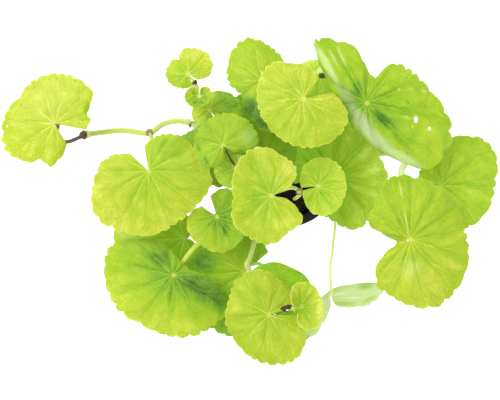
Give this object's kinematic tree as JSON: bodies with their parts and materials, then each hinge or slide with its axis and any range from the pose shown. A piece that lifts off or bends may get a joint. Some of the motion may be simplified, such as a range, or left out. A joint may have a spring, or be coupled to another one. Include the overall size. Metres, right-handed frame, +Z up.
{
  "type": "potted brazilian pennywort",
  "caption": "Small potted creeping plant with round, scalloped, notched leaves on slender stalks, and runners that arch out over the rim of a tapered pot.",
  "frame": {"origin": "centre of the pot's base, on the surface that the pot stands on", "axes": "+Z up along the pot's axis, +X towards the side opposite the long trailing runner, +Y towards the back"},
  "size_m": [0.2537, 0.162, 0.1194],
  "materials": {
    "pot": "satin moulded polypropylene",
    "growing_medium": "damp fibrous rooting medium",
    "stem": "fresh green stem, soft gloss",
    "petiole": "pale green leaf stalk, soft gloss",
    "leaf": "fresh lime green leaf, soft gloss"
  },
  "bodies": {
    "root": {"pot": "pot", "growing_medium": "growing_medium", "runner_left": "stem", "runner_front": "stem", "runner_right": "stem", "shoot_upper_left": "stem", "shoot_crown": "stem", "blade_far_left": "leaf", "blade_left": "leaf", "blade_tip_small": "leaf", "blade_tip_tiny": "leaf", "blade_shaded_upper": "leaf", "blade_upper_left": "leaf", "blade_inner_left": "leaf", "blade_centre": "leaf", "blade_small_round": "leaf", "blade_top_bright": "leaf", "blade_back": "leaf", "blade_back_hidden": "leaf", "blade_largest": "leaf", "blade_far_right": "leaf", "blade_lower_right": "leaf", "blade_broad_inner": "leaf", "blade_front": "leaf", "blade_front_small": "leaf", "blade_front_under": "leaf", "blade_hanging": "leaf", "blade_lower_left": "leaf", "blade_lower_left_under": "leaf", "blade_lower_middle": "leaf", "blade_cupped": "leaf", "blade_dark_left": "leaf", "blade_dark_middle": "leaf", "petiole_far_left": "petiole", "petiole_left": "petiole", "petiole_tip_small": "petiole", "petiole_tip_tiny": "petiole", "petiole_shaded_upper": "petiole", "petiole_upper_left": "petiole", "petiole_inner_left": "petiole", "petiole_centre": "petiole", "petiole_small_round": "petiole", "petiole_top_bright": "petiole", "petiole_back": "petiole", "petiole_back_hidden": "petiole", "petiole_largest": "petiole", "petiole_far_right": "petiole", "petiole_lower_right": "petiole", "petiole_broad_inner": "petiole", "petiole_front": "petiole", "petiole_front_small": "petiole", "petiole_front_under": "petiole", "petiole_hanging": "petiole", "petiole_lower_left": "petiole", "petiole_lower_left_under": "petiole", "petiole_lower_middle": "petiole", "petiole_cupped": "petiole", "petiole_dark_left": "petiole", "petiole_dark_middle": "petiole"}
  },
  "joints": []
}
